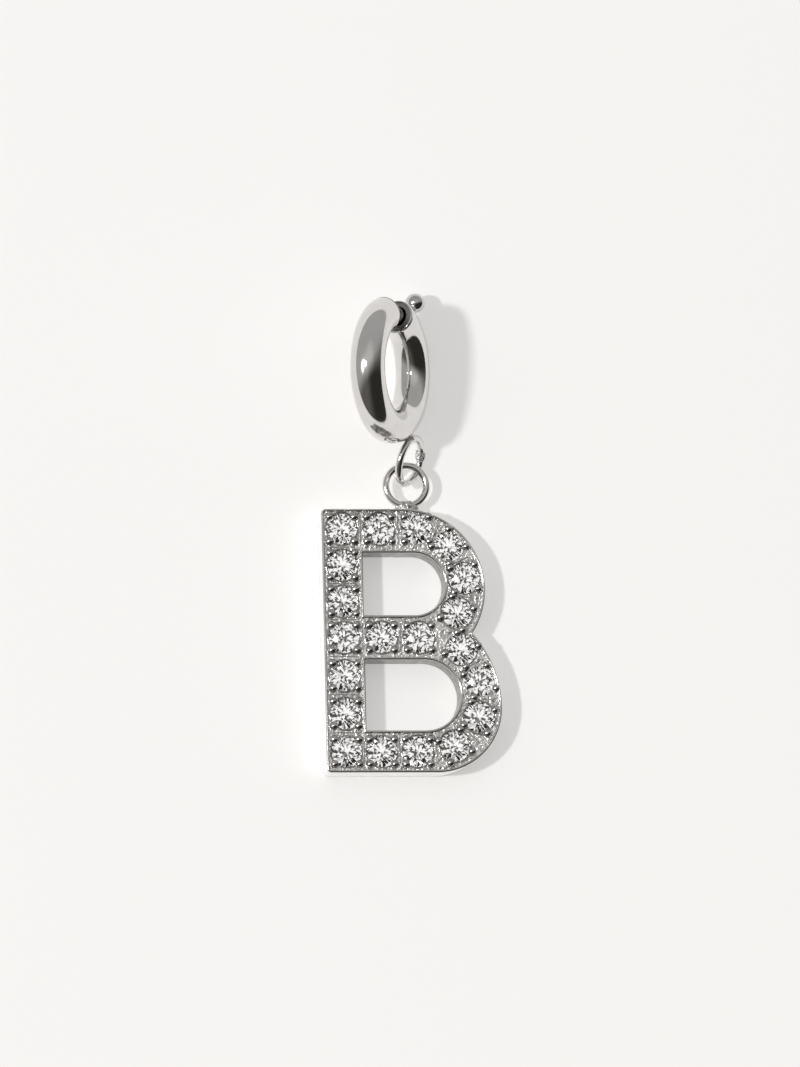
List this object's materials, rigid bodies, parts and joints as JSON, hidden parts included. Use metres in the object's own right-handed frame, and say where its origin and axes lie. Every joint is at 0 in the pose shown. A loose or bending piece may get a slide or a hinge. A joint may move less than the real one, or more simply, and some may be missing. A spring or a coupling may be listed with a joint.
{
  "type": "initial pendant on a spring ring",
  "caption": "Letter B charm set with round stones, hung by two soldered rings from a small round-tube spring ring with a sliding bolt.",
  "frame": {"origin": "middle of the letter's flat back", "axes": "+X to the right of the letter, +Y from the letter up to the spring ring, +Z out of the letter's set face; the back lies on Z = 0"},
  "size_m": [0.0108, 0.0295, 0.008],
  "materials": {
    "silver": "polished",
    "bolt_steel": "polished",
    "stone": "clear, cut and polished"
  },
  "bodies": {
    "pendant": {"letter": "silver", "spring_ring": "silver", "stone_01": "stone", "stone_02": "stone", "stone_03": "stone", "stone_04": "stone", "stone_05": "stone", "stone_06": "stone", "stone_07": "stone", "stone_08": "stone", "stone_09": "stone", "stone_10": "stone", "stone_11": "stone", "stone_12": "stone", "stone_13": "stone", "stone_14": "stone", "stone_15": "stone", "stone_16": "stone", "stone_17": "stone", "stone_18": "stone", "stone_19": "stone", "stone_20": "stone"},
    "bolt": {"spring_bolt": "bolt_steel"}
  },
  "joints": [
    {"name": "bolt_slide", "type": "hinge", "parent": "pendant", "child": "bolt", "pos_m": [-0.0013, 0.01622, 0.00401], "axis": [-0.8536, 0.0552, -0.518], "range_deg": [0, 33.5], "stiffness_Nm_per_rad": 0.001, "springref_deg": -20.05}
  ]
}
